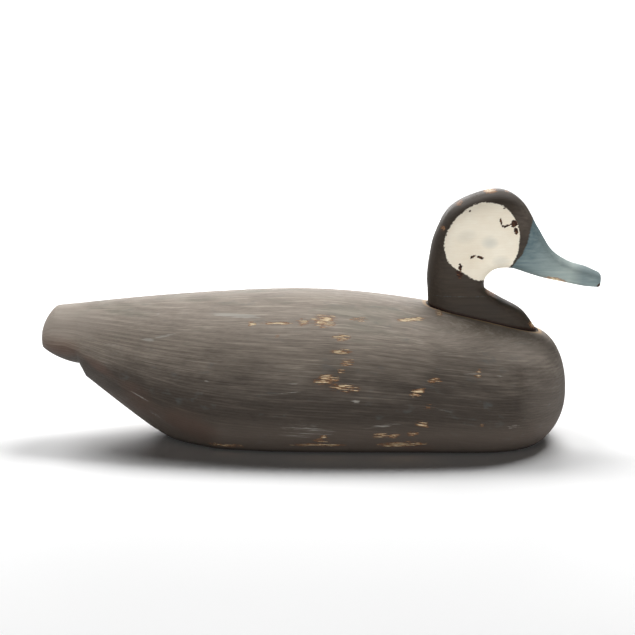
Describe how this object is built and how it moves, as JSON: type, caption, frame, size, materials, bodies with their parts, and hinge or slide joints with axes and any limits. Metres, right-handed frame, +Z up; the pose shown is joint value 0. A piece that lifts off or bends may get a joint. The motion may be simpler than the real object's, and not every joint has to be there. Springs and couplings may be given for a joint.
{
  "type": "duck decoy",
  "caption": "Carved wooden ruddy duck decoy with a flat underside, a paddle tail and a short neck under a broad bill.",
  "frame": {"origin": "on the flat underside, below the middle of the overall length and on the plane of symmetry", "axes": "+Z up out of the back, +X towards the bill, +Y across the body to the decoy's left"},
  "size_m": [0.329, 0.142, 0.1467],
  "materials": {
    "body": "old matt grey-brown paint over light wood, rubbed through in places",
    "head": "old matt near-black paint with an off-white cheek patch and a blue-grey bill"
  },
  "bodies": {
    "root": {"body": "body", "head": "head"}
  },
  "joints": []
}
